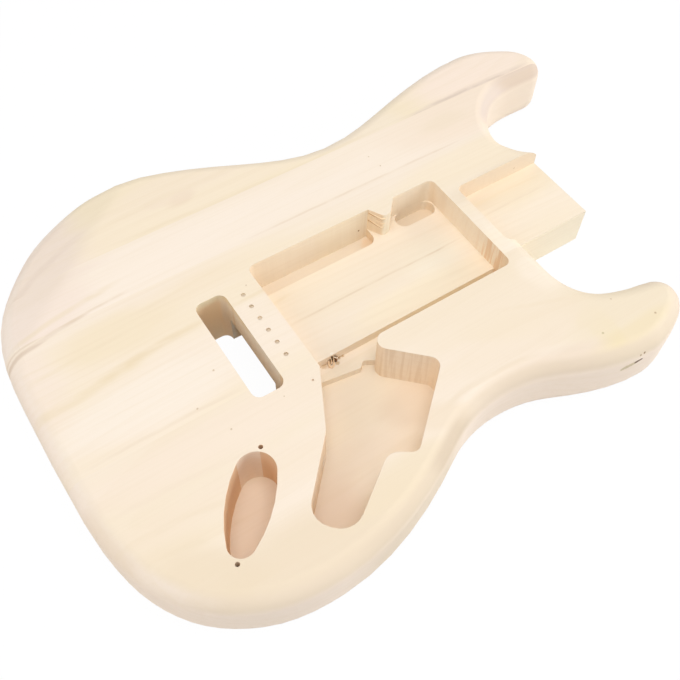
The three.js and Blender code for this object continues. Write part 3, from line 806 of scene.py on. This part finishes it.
# %% Centre board
BOARDS["centre_board"] = dict(
    pith=(-0.30, -0.02), lean=0.02, ring=0.0056, wander=0.04, seed=7.7,
    light=(251, 236, 218), warm=(249, 233, 208), ring_share=0.12, ring_ends=0.6,
    zones=[
        (-162, 36, 46, 17, 0, (247, 230, 201), 0.9),
        (-100, 46, 40, 10, 0, (248, 231, 205), 0.7),
        (-165, -14, 62, 18, 0, (252, 239, 223), 0.95),
        (-222, 25, 20, 30, 0, (249, 232, 216), 0.7),
        (110, 45, 60, 12, 0, (251, 235, 210), 0.8),
        (84, -34, 7, 26, 0, (254, 241, 222), 0.9),
        (30, 15, 50, 18, 0, (249, 233, 214), 0.6),
        (48, -6, 26, 18, 0, (255, 244, 223), 0.8),
        (-5, 10, 76, 22, 0, (248, 232, 207), 0.6),
        (30, -26, 60, 14, 0, (255, 240, 213), 0.8),
        (125, 15, 50, 11, 0, (238, 221, 196), 0.9),
        (140, 8, 40, 14, 0, (247, 231, 204), 0.7),
    ],
    # The edge zone at x 125 is painted light on the heel's side; the one at the tail is the rim's own tone.
    edges=[(-222, 10, 24, 50, 0, (250, 235, 221), 0.8), (125, -34, 60, 12, 0, (255, 245, 222), 1.0)],
    # Wall zones: warm painted shade deep in the slot, and painted light on the slot's far long wall, the
    # pickup route's end wall, the bass channel walls and the pocket's wall.
    walls=[
        (-103.5, -9, 24, 56, 0, (255, 225, 183), 0.9),
        (-92.6, -16, 4, 60, 0, (255, 255, 248), 0.95),
        (77, -3, 8, 50, 0, (255, 249, 237), 0.9),
        (-10, 40, 90, 8, 0, (255, 242, 222), 0.9),
        (8, 40, 26, 4, 0, (255, 242, 218), 0.8),
        (35, 29, 7, 4, 0, (255, 246, 226), 1.0),
        (60, 40, 18, 6, 0, (255, 243, 224), 0.9),
        (124, 24.5, 46, 6, 0, (247, 231, 209), 0.9),
    ],
    # Painted light on the top of the slot's walls.
    painted_wall_top_light=[(-105.5, 20, 24, 36, 0, (255, 243, 212), 0.9)],
    floors=[
        (60, 32, 34, 20, 0, (238, 219, 193), 0.9),
        (-20, 34, 74, 16, 0, (238, 222, 200), 0.9),
    ],
    lines=[
        (-242, 47, -172, 62, 2, 4.4, (224, 203, 182), 0.85),
        (-240, 53, -190, 62, 1, 2.4, (230, 210, 188), 0.60),
        (-236, 6, -150, 14, -1, 9.0, (240, 221, 186), 0.50),
        (-190, 11, -108, 19, 1, 7.0, (236, 215, 178), 0.55),
        (-125, 18, -45, 20, 0, 3.4, (241, 222, 190), 0.60),
        (-222, -37, -108, -37, 1, 3.0, (240, 222, 198), 0.55),
        (-72, -1.4, 84, -1.4, 0, 2.0, (232, 211, 182), 0.70),
        (86, 14, 164, 12, 1, 3.4, (240, 221, 190), 0.55),
        (88, 3, 160, 3, 0, 2.6, (238, 219, 192), 0.50),
        (-150, 44, -70, 50, 1, 3.4, (243, 225, 196), 0.40),
        (-228, 30, -150, 36, 1, 4.0, (242, 224, 194), 0.40),
    ],
    chatter=[(24, 32, 14, 12, 0, 0.2)],
    # Some spots are painted light and shade: a painted highlight on the pickup floor's edge above the wire
    # hole, and painted shade at the foot of the tongue, in a pinhole in the bass channel's wall, in the
    # ragged mouth of the wire hole and on the channel floor at the foot of that wall.
    spots=[
        (-125, -17, 45, 0.9, SPECK), (-145, -35, 45, 0.9, SPECK), (-77.5, 28, 45, 0.7, SPECK),
        (141.9, 24.2, 35.2, 1.0, SPECK), (-52.6, -34.0, 25, 1.5, (255, 246, 228)),
        (22, 33, 17.5, 8, (238, 212, 180)), (17.3, 40.2, 27.5, 0.9, (150, 112, 72)),
        (-55.9, -35, 20.5, 1.0, RAGGED_MOUTH_SHADE), (-53.3, -35, 23.4, 0.9, RAGGED_MOUTH_SHADE), (-52.0, -35, 23.0, 0.8, RAGGED_MOUTH_SHADE),
        (-50.8, -35, 22.4, 0.8, RAGGED_MOUTH_SHADE), (-49.6, -35, 21.6, 0.8, RAGGED_MOUTH_SHADE), (-51.4, -36.0, 17.5, 1.2, RAGGED_MOUTH_SHADE),
        (-50.6, -35, 18.4, 1.0, RAGGED_MOUTH_SHADE), (-47.5, -35, 17.6, 1.6, CHANNEL_FOOT_SHADE), (-45.0, -35, 17.6, 1.6, CHANNEL_FOOT_SHADE),
        (-59.2, -35.6, 17.5, 2.6, (232, 208, 176)), (-50.6, -38.0, 17.5, 2.0, CHANNEL_FOOT_SHADE),
    ] + [(BRIDGE_HOLE_X, y, 43.2, 2.7, HOLE_WALL) for y in BRIDGE_HOLE_YS])
tell("centre_board")

# %% Inner bass board
BOARDS["bass_inner_board"] = dict(
    pith=(0.03, -0.30), lean=0.0, ring=0.0075, wander=0.03, seed=5.2,
    light=(253, 239, 223), warm=(252, 237, 218), ring_share=0.08,
    zones=[
        (152, 82, 80, 30, 0, (250, 232, 212), 1.0),
        (204, 97, 24, 6, 0, GREY_TIP, 1.0),
        (120, 84, 22, 8, 0, (244, 227, 202), 0.5),
        (-200, 74, 40, 26, 12, (249, 232, 218), 0.9),
        (-196, 96, 46, 9, 0, (247, 230, 214), 0.9),
        (-70, 100, 110, 3.5, 0, (250, 235, 216), 0.6),
    ],
    edges=[(-222, 70, 30, 30, 0, (252, 238, 225), 0.9), (186, 86, 54, 26, 0, (232, 215, 202), 0.95),
           (204, 96, 24, 8, 0, GREY_TIP, 1.0)],
    # Side zone: painted light on the bass horn's outside wall.
    sides=[(192, 84, 56, 30, 0, (252, 236, 217), 0.9)],
    lines=[
        (-236, 50, -168, 61, 2, 4.4, (228, 207, 182), 0.75),
        (-205, 58, -140, 64, 1, 2.6, (234, 214, 190), 0.65),
        (-226, 60, -140, 74, 2, 5.0, (242, 224, 196), 0.60),
        (-70, 61, 132, 61, 0, 2.4, (236, 216, 192), 0.65),
    ],
    spots=[(55, 70, 45, 0.8, SPECK), (53, 82, 45, 0.7, SPECK)])
tell("bass_inner_board")

# %% Outer bass board
BOARDS["bass_outer_board"] = dict(
    pith=(0.05, -0.12), lean=-0.05, ring=0.0058, wander=0.05, seed=1.4,
    light=(250, 234, 209), warm=(248, 232, 202), ring_share=0.12,
    zones=[
        (-186, 120, 38, 50, -14, (247, 230, 214), 1.0),
        (-78, 118, 12, 7, 10, (243, 223, 199), 0.8),
        (-95, 122, 9, 5, -10, (244, 225, 202), 0.5),
        (172, 116, 64, 26, 0, (253, 235, 218), 1.0),
        (60, 108, 40, 14, 0, (249, 234, 214), 0.7),
        (-60, 132, 70, 16, 0, (249, 232, 211), 0.6),
    ],
    edges=[(-190, 110, 50, 60, 0, (251, 236, 222), 0.8), (170, 125, 70, 30, 0, (251, 235, 217), 0.7)],
    lines=[
        (84, 101.4, 228, 101.0, 0.6, 5.6, (229, 210, 193), 0.70),
        (118, 102.0, 216, 101.2, -0.5, 2.6, (216, 196, 178), 0.45),
        (-228, 84, -140, 128, 5, 7.0, (236, 217, 200), 0.50),
        (-220, 100, -150, 146, 5, 8.0, (236, 217, 200), 0.50),
        (-150, 104, 90, 102, -2, 4.0, (242, 224, 194), 0.50),
        (-148, 120, -20, 124, 3, 6.0, (243, 225, 196), 0.40),
        (-20, 112, 120, 122, 2, 5.0, (243, 226, 200), 0.40),
    ])
tell("bass_outer_board")

# %% [markdown]
# ## One material for all the boards
# Each board has its own material, made by one recipe: a tone between light and warm by the
# clouds, then zones, with painted light and shade among them, rings, lines and fibres over it,
# and last what the tools did. Where the grain ends in a wall, the wood drinks in more light,
# so the end tone multiplies instead of covering. Fibres, rings and chatter also raise the
# surface a little for the bump.

# %% Wood tone
RING_TONE = (238, 217, 184)
END_TONE = (243, 221, 192)
RING_END_TONE = (230, 184, 136)
FIBRE_TONE = (238, 219, 192)
CHATTER_TONE = (218, 190, 156)
FLOOR_TINT = (252, 238, 216)
FLOOR_SHARE = 0.5
PALEST_YEAR = 0.35
FIBRE_SHARE = 0.14
END_SHARE_SANDED = 0.12
END_SHARE_ROUTED = 0.50
RING_END_ZONE = (78, -36, 14, 22, 0)
CHATTER_SHARE = 0.15
ROUGH_CUT_RANGE = (0.42, 0.62)
ROUGH_CUT_SHARE = 0.55


def zone_mask(t, place, x, y, half_length, half_width, turn):
    """Mask of one soft zone, with its place in millimetres and its turn in degrees."""
    return use_group(t, soft_zone, Place=place, X=x * MM, Y=y * MM, Half_Length=half_length * MM,
                     Half_Width=half_width * MM, Turn=math.radians(turn))["Mask"]


def line_mask(t, place, start_x, start_y, end_x, end_y, bow, width):
    """Mask of one grain line, in millimetres."""
    return use_group(t, grain_line, Place=place, Start_X=start_x * MM, Start_Y=start_y * MM,
                     End_X=end_x * MM, End_Y=end_y * MM, Bow=bow * MM, Width=width * MM)["Mask"]


def over_tone(t, tone, mask, strength, shade, blend="MIX"):
    """The tone with a shade over it, as strong as mask times strength."""
    return t.mix(t.times(mask, strength), tone, linear(*shade), blend)


def wood_tone(t, place, routed, figure, cut, light, warm, ring_share, lines, zones, edges=(), sides=(),
              walls=(), painted_wall_top_light=(), floors=(), ring_ends=0.0, chatter=(), spots=()):
    """Colour of a board: each layer covers the last by its own mask."""
    tone = t.mix(figure["Clouds"], linear(*light), linear(*warm))
    tone = over_tone(t, tone, cut["Floor"], FLOOR_SHARE, FLOOR_TINT)
    for *oval, shade, strength in zones:
        tone = over_tone(t, tone, zone_mask(t, place, *oval), strength, shade)
    # Edges, sides, walls and wall tops carry painted light and shade as well as tone.
    parts = {"Edge": edges, "Side": sides, "Wall": walls, "Wall Top": painted_wall_top_light, "Sunken": floors}
    for part, listed in parts.items():
        for *oval, shade, strength in listed:
            mask = t.times(zone_mask(t, place, *oval), cut[part])
            tone = over_tone(t, tone, mask, strength, shade)
    year = t.remap(figure["Year"], 0, 1, PALEST_YEAR * ring_share, ring_share, smooth=False)
    tone = over_tone(t, tone, figure["Rings"], year, RING_TONE)
    for *run, shade, strength in lines:
        tone = over_tone(t, tone, line_mask(t, place, *run), strength, shade)
    tone = over_tone(t, tone, figure["Fibres"], FIBRE_SHARE, FIBRE_TONE)
    end_share = t.remap(routed, 0, 1, END_SHARE_SANDED, END_SHARE_ROUTED, smooth=False)
    tone = over_tone(t, tone, cut["End Grain"], end_share, END_TONE, "MULTIPLY")
    if ring_ends:
        mask = t.times(t.times(zone_mask(t, place, *RING_END_ZONE), cut["End Grain"]), cut["Pores"])
        tone = over_tone(t, tone, mask, ring_ends, RING_END_TONE)
    tone = over_tone(t, tone, cut["Chatter"], CHATTER_SHARE, CHATTER_TONE)
    for *oval, strength in chatter:
        mask = t.times(t.times(zone_mask(t, place, *oval), strength), ROUGH_CUT_SHARE)
        tone = over_tone(t, tone, t.remap(cut["Chatter"], *ROUGH_CUT_RANGE), mask, CHATTER_TONE)
    for x, y, z, radius, shade in spots:
        spot = use_group(t, small_spot, Place=place, X=x * MM, Y=y * MM, Z=z * MM, Radius=radius * MM)
        tone = t.mix(spot["Mask"], tone, linear(*shade))
    return tone


# %% Wood surface
SMOOTHEST = 0.60
FIBRE_ROUGHENING = 0.10
ROUTED_ROUGHENING = 0.12
SPECULAR = 0.30
FIBRE_RELIEF = 0.25
RING_RELIEF = 0.12
BUMP_STRENGTH = 0.5
BUMP_HEIGHT = 0.12 * MM


def wood_surface(t, shader, routed, figure, cut):
    """Roughness and bump: fibres and routed faces are rougher, and fibres, rings and chatter stand up."""
    rough = t.add(SMOOTHEST, t.times(figure["Fibres"], FIBRE_ROUGHENING))
    t.put(shader.inputs["Roughness"], t.add(rough, t.times(routed, ROUTED_ROUGHENING)))
    shader.inputs["Specular IOR Level"].default_value = SPECULAR
    height = t.add(t.times(figure["Fibres"], FIBRE_RELIEF), t.times(figure["Rings"], RING_RELIEF))
    bump = t.tree.nodes.new("ShaderNodeBump")
    bump.inputs["Strength"].default_value = BUMP_STRENGTH
    bump.inputs["Distance"].default_value = BUMP_HEIGHT
    t.put(bump.inputs["Height"], t.add(height, cut["Chatter"]))
    t.put(shader.inputs["Normal"], bump.outputs[0])


def wood_material(name, pith, lean, ring, wander, seed, **look):
    """Bare sanded wood of one board."""
    material = bpy.data.materials.new(name)
    material.use_nodes = True
    t = Tree(material.node_tree)
    shader = t.tree.nodes["Principled BSDF"]
    coordinates = t.tree.nodes.new("ShaderNodeTexCoord").outputs
    attribute = t.tree.nodes.new("ShaderNodeAttribute")
    attribute.attribute_name = "routed"
    routed = attribute.outputs["Fac"]
    place = coordinates["Object"]
    figure = use_group(t, board_figure, Place=place, Pith_Y=pith[0], Pith_Z=pith[1], Lean=lean,
                       Ring_Width=ring, Wander=wander, Seed=seed)
    cut = use_group(t, router_work, Place=place, Facing=coordinates["Normal"], Routed=routed)
    t.put(shader.inputs["Base Color"], wood_tone(t, place, routed, figure, cut, **look))
    wood_surface(t, shader, routed, figure, cut)
    return material


for name in BOARD_NAMES:
    dress_board(name, wood_material(name + "_wood", **BOARDS[name]))

# %% [markdown]
# ## Small pieces of torn wood and painted shade
# Slivers, dust and a curl are a millimetre or two across, so each is one even tone of raw
# wood, and a plug and a few strips of the same kind are one even dark tone of painted shade.
# Their shapes are all skins through rings of points: a circle carried up an axis makes a plug,
# of dust in the pilot holes and of painted shade in the wire hole, a rectangle carried round a
# circle makes a collar, and a flat rectangle carried along a path makes a sliver.

# %% Skins through rings of points
RECTANGLE = np.array([(-1, -1), (1, -1), (1, 1), (-1, 1)])
PLUG_SIDES = 16
POINT_WIDTH = 0.06
SLIVER_TILT = (0.25, -0.35, 0.9)


def quads(rings, around, closed=False):
    """Faces between neighbouring rings of as many points, and from the last ring to the first if closed."""
    ring, near = np.divmod(np.arange((rings if closed else rings - 1) * around), around)
    after = (near + 1) % around
    low, high = ring * around, (ring + 1) % rings * around
    return np.stack([low + near, low + after, high + after, high + near], 1).tolist()


def capped(rings):
    """Points and faces of a skin through rings of points, with one flat face at each end."""
    count, around = rings.shape[:2]
    first = list(reversed(range(around)))
    last = list(range((count - 1) * around, count * around))
    return rings.reshape(-1, 3), [first, last] + quads(count, around)


def circle(sides):
    """Cosines and sines of equal steps round a circle."""
    angles = np.arange(sides) * 2 * math.pi / sides
    return np.cos(angles), np.sin(angles)


def tube(outer, inner, low, high, sides):
    """Collar about the Z axis: each corner of a rectangle at (radius × cos, radius × sin, height)."""
    cosines, sines = circle(sides)
    radii = np.array([[outer], [outer], [inner], [inner]])
    heights = np.array([[low], [high], [high], [low]])
    rings = np.stack([radii * cosines, radii * sines, np.repeat(heights, sides, 1)], -1)
    return rings.reshape(-1, 3), quads(len(rings), sides, closed=True)


def plug(middle, first, second, low, high):
    """Closed cylinder: middle + first × cos + second × sin, from low to high along the axis square
    to both."""
    axis = np.cross(first, second)
    axis /= np.linalg.norm(axis)
    cosines, sines = circle(PLUG_SIDES)
    rim = middle + np.outer(cosines, first) + np.outer(sines, second)
    return capped(np.stack([rim + axis * low, rim + axis * high]))


def ribbon(path, widths, thickness):
    """Sliver: a rectangle carried along a path of points, each with its own width. Its flat side
    faces along a fixed tilt, and it ends in a point where a width is 0."""
    path = np.array(path, float)
    runs = np.gradient(path, axis=0)
    runs /= np.linalg.norm(runs, axis=1, keepdims=True)
    sides = np.cross(runs, SLIVER_TILT)
    sides /= np.linalg.norm(sides, axis=1, keepdims=True)
    widths = np.maximum(widths, POINT_WIDTH)[:, None]
    half = sides * widths / 2
    thin = np.cross(sides, runs) * np.minimum(widths, thickness) / 2
    u, v = RECTANGLE[:, :1], RECTANGLE[:, 1:]
    return capped(path[:, None] + u * half[:, None] + v * thin[:, None])


def gather(parts):
    """Several (points, faces) pairs as one, each face's numbers moved past the points before it."""
    starts = np.cumsum([0] + [len(points) for points, faces in parts])
    points = np.concatenate([points for points, faces in parts])
    faces = [[corner + int(start) for corner in face]
             for start, (own_points, own_faces) in zip(starts, parts) for face in own_faces]
    return points, faces


print("faces of a plug:", len(plug(np.zeros(3), np.eye(3)[0], np.eye(3)[1], 0, 1)[1]))

# %% Pieces in place
RAW_SPECULAR = 0.2


def add_mesh(name, points, faces, material, slot):
    """A piece of the body from points in millimetres."""
    mesh = bpy.data.meshes.new(name)
    mesh.from_pydata((np.asarray(points) * MM).tolist(), [], faces)
    mesh.update()
    mesh.materials.append(material)
    piece = bpy.data.objects.new(name, mesh)
    bpy.context.scene.collection.objects.link(piece)
    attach(piece, "root")
    print(name, "has", len(mesh.polygons), "faces")


def plain_wood(name, shade, rough):
    """One even tone for pieces of a millimetre or two: raw wood, and the dark plug and strips of painted
    shade.
    """
    material = bpy.data.materials.new(name)
    material.use_nodes = True
    shader = material.node_tree.nodes["Principled BSDF"]
    shader.inputs["Base Color"].default_value = linear(*shade)
    shader.inputs["Roughness"].default_value = rough
    shader.inputs["Specular IOR Level"].default_value = RAW_SPECULAR
    return material


# %% [markdown]
# ## The torn wire hole
# A drill that breaks out of a wall tears the fibres. The wire hole in the treble channel has
# a dark, ragged mouth with slivers standing round it, and one long curl that has dropped on
# the channel floor. The dark of its bore is a plug of painted shade a little way in, and a
# dark strip of painted shade lies under one sliver. Short slivers are drawn at random from a
# seed, and the long ones follow the picture. The ridges that the router's passes left on the
# slanted side of the tongue between the two bass channels are slivers of the same kind, laid
# along the wall, two of them with a dark strip of painted shadow below.

# %% Painted shade in the bore and short slivers of the wire hole
WIRE_MOUTH = np.array([-52.3, -35.0, 19.9])
WIRE_RADIUS = 2.4
WIRE_SLOPE = math.radians(40)
SHADE_PLUG_OVERLAP = 0.05
SHADE_PLUG_FROM, SHADE_PLUG_TO = 1.4, 3.4
SLIVER_COUNT = 15
SLIVER_THICKNESS = 0.35
ROOT_DEPTH = 0.25
DROOP = 0.18
MIDDLE_WIDTH = 0.8
OUTWARDS = (0.7, 1.6)
UPWARDS = (-0.2, 0.5)
TOWARDS_NECK = (-0.2, 0.8)
SLIVER_LENGTH = (1.4, 3.0)
SLIVER_WIDTH = (0.5, 1.0)
FIRST_ANGLE, LAST_ANGLE = math.radians(10), math.radians(350)
DARK_SEED, PALE_SEED = 11, 5


def loose_slivers(seed, angles):
    """Short slivers round the mouth, leaning out of the wall and along it: each bends down from
    its root on the rim to a point."""
    draw = np.random.default_rng(seed)
    parts = []
    for angle in angles:
        rim = np.array([math.cos(angle), 0, math.sin(angle) / math.cos(WIRE_SLOPE)]) * WIRE_RADIUS
        lean = np.array([math.cos(angle), -draw.uniform(*OUTWARDS), math.sin(angle) + draw.uniform(*UPWARDS)])
        lean[0] += draw.uniform(*TOWARDS_NECK)
        lean /= np.linalg.norm(lean)
        root = WIRE_MOUTH + rim + (0, ROOT_DEPTH, 0)
        length = draw.uniform(*SLIVER_LENGTH)
        droop = np.array([0, 0, -DROOP * length])
        path = [root, root + lean * length * 0.5, root + lean * length + droop]
        width = draw.uniform(*SLIVER_WIDTH)
        parts.append(ribbon(path, [width, width * MIDDLE_WIDTH, 0], SLIVER_THICKNESS))
    return parts


# The dark plug a little way into the bore is painted shade: one dark tone where the hole lies in shadow.
upward = np.array([0, math.sin(WIRE_SLOPE), math.cos(WIRE_SLOPE)]) * (WIRE_RADIUS + SHADE_PLUG_OVERLAP)
sideways = np.array([1.0, 0, 0]) * (WIRE_RADIUS + SHADE_PLUG_OVERLAP)
bore_shade_plug = plug(WIRE_MOUTH, upward, sideways, SHADE_PLUG_FROM, SHADE_PLUG_TO)
add_mesh("wire_bore_painted_shade", *bore_shade_plug, plain_wood("painted_bore_shade", (52, 38, 28), 0.9), "centre_board")
around_rim = np.linspace(FIRST_ANGLE, LAST_ANGLE, SLIVER_COUNT)
dark = gather(loose_slivers(DARK_SEED, around_rim[::2]))
add_mesh("wire_hole_slivers_dark", *dark, plain_wood("torn_dark", (120, 88, 58), 0.8), "centre_board")
pale = gather(loose_slivers(PALE_SEED, around_rim[1::2]))
add_mesh("wire_hole_slivers_pale", *pale, plain_wood("torn_pale", (240, 214, 178), 0.7), "centre_board")

# %% Curl, long slivers and ridges
# Each piece has its tone and its slivers, and each sliver its points and their widths.
LONG_SLIVER_THICKNESS = 0.4
LONG_SLIVER_ROUGHNESS = 0.75
LONG_SLIVERS = {
    "wire_hole_curl": ((242, 210, 172), [
        ([(-55.2, -34.8, 20.4), (-56.2, -36.6, 19.6), (-56.4, -38.0, 18.6), (-55.5, -39.0, 18.1),
          (-54.2, -38.8, 18.1), (-52.9, -37.5, 18.4), (-52.0, -36.2, 18.9)],
         [1.1, 1.4, 1.6, 1.5, 1.4, 1.2, 0.3]),
        ([(-53.7, -35.3, 20.2), (-54.0, -36.1, 19.2), (-54.5, -37.0, 18.2)], [0.6, 1.2, 0.9]),
        ([(-51.7, -34.6, 21.2), (-51.9, -35.5, 19.9), (-52.6, -36.2, 18.4)], [0.7, 1.1, 0.8]),
    ]),
    "wire_hole_bright": ((254, 240, 218), [
        ([(-52.4, -34.6, 22.4), (-51.0, -35.5, 21.4), (-49.4, -35.9, 20.0), (-48.2, -35.8, 18.9)],
         [0.5, 1.0, 0.9, 0.0]),
        ([(-56.6, -35.1, 21.2), (-57.2, -35.6, 21.9), (-57.4, -35.8, 22.6)], [0.8, 0.8, 0.0]),
    ]),
    # A dark strip of painted shade under the bright sliver.
    "wire_hole_painted_shade": ((126, 80, 44), [
        ([(-51.6, -34.8, 20.8), (-50.7, -35.7, 19.8), (-50.3, -36.4, 18.3), (-50.6, -37.0, 17.7)],
         [0.7, 1.2, 1.0, 0.2]),
    ]),
    "pass_ridges": ((251, 229, 196), [
        ([(24.6, 40.0, 42.4), (26.0, 37.1, 42.1), (27.8, 33.9, 41.8), (29.6, 30.7, 41.8), (30.8, 28.9, 42.2)],
         [0.2, 0.6, 1.4, 2.4, 1.0]),
        ([(25.6, 38.2, 38.6), (27.4, 34.6, 37.8), (29.4, 31.0, 37.2), (30.7, 29.1, 37.4)],
         [0.0, 0.4, 1.8, 0.8]),
        ([(24.6, 40.0, 35.4), (26.0, 37.1, 34.8), (27.8, 33.9, 33.8), (29.5, 30.7, 33.4), (30.4, 29.2, 33.8)],
         [0.2, 0.6, 1.4, 2.2, 0.8]),
    ]),
    # Dark strips of painted shadow just below the first and last ridges.
    "pass_ridge_painted_shadow": ((206, 168, 122), [
        ([(24.6, 40.0, 41.8), (26.0, 37.1, 41.5), (27.8, 33.9, 41.2), (29.6, 30.7, 41.2)],
         [0.8, 1.0, 1.3, 1.6]),
        ([(24.6, 40.0, 34.8), (26.0, 37.1, 34.2), (27.8, 33.9, 33.2), (29.5, 30.7, 32.8)],
         [1.0, 1.2, 1.4, 1.6]),
    ]),
}

for name, (shade, paths) in LONG_SLIVERS.items():
    slivers = gather([ribbon(path, widths, LONG_SLIVER_THICKNESS) for path, widths in paths])
    add_mesh(name, *slivers, plain_wood(name + "_wood", shade, LONG_SLIVER_ROUGHNESS), "centre_board")

# %% [markdown]
# ## Pilot holes
# The bridge's pilot holes are packed with dust a little below the front, each to its own
# depth. The pickguard's hole is finer than the others, so a collar of the board's own wood
# narrows its mouth, with dust deeper inside.

# %% Dust in the bridge's pilot holes
FRONT = 45.0
DUST_RADIUS = 1.53
DUST_THICKNESS = 2
DUST_DEPTHS = [1.2, 1.5, 1.2, 1.4, 1.5, 1.6]
across, along = np.array([DUST_RADIUS, 0, 0]), np.array([0, DUST_RADIUS, 0])
holes = [plug(np.array([BRIDGE_HOLE_X, y, FRONT]), across, along, -depth - DUST_THICKNESS, -depth)
         for y, depth in zip(BRIDGE_HOLE_YS, DUST_DEPTHS)]
pilot_dust = plain_wood("pilot_dust", (230, 216, 196), 0.9)
add_mesh("bridge_hole_dust", *gather(holes), pilot_dust, "centre_board")

# %% The pickguard's pilot hole
GUARD_HOLE = np.array([-78.8, -54.4, 0])
GUARD_DUST_NARROWING = 0.6
GUARD_DUST_LOW, GUARD_DUST_HIGH = -4.4, -1.4
COLLAR_OUTER = 1.45
COLLAR_INNER = 0.75
COLLAR_HEIGHT = 3.0
COLLAR_DROP = 0.03
COLLAR_SIDES = 20
guard_dust = plug(GUARD_HOLE + (0, 0, FRONT), across * GUARD_DUST_NARROWING, along * GUARD_DUST_NARROWING,
                  GUARD_DUST_LOW, GUARD_DUST_HIGH)
add_mesh("guard_hole_dust", *guard_dust, pilot_dust, "treble_board")
collar_low, collar_high = FRONT - COLLAR_HEIGHT, FRONT - COLLAR_DROP
collar, collar_faces = tube(COLLAR_OUTER, COLLAR_INNER, collar_low, collar_high, COLLAR_SIDES)
board_wood = bpy.data.materials["treble_board_wood"]
add_mesh("guard_hole_collar", collar + GUARD_HOLE, collar_faces, board_wood, "treble_board")
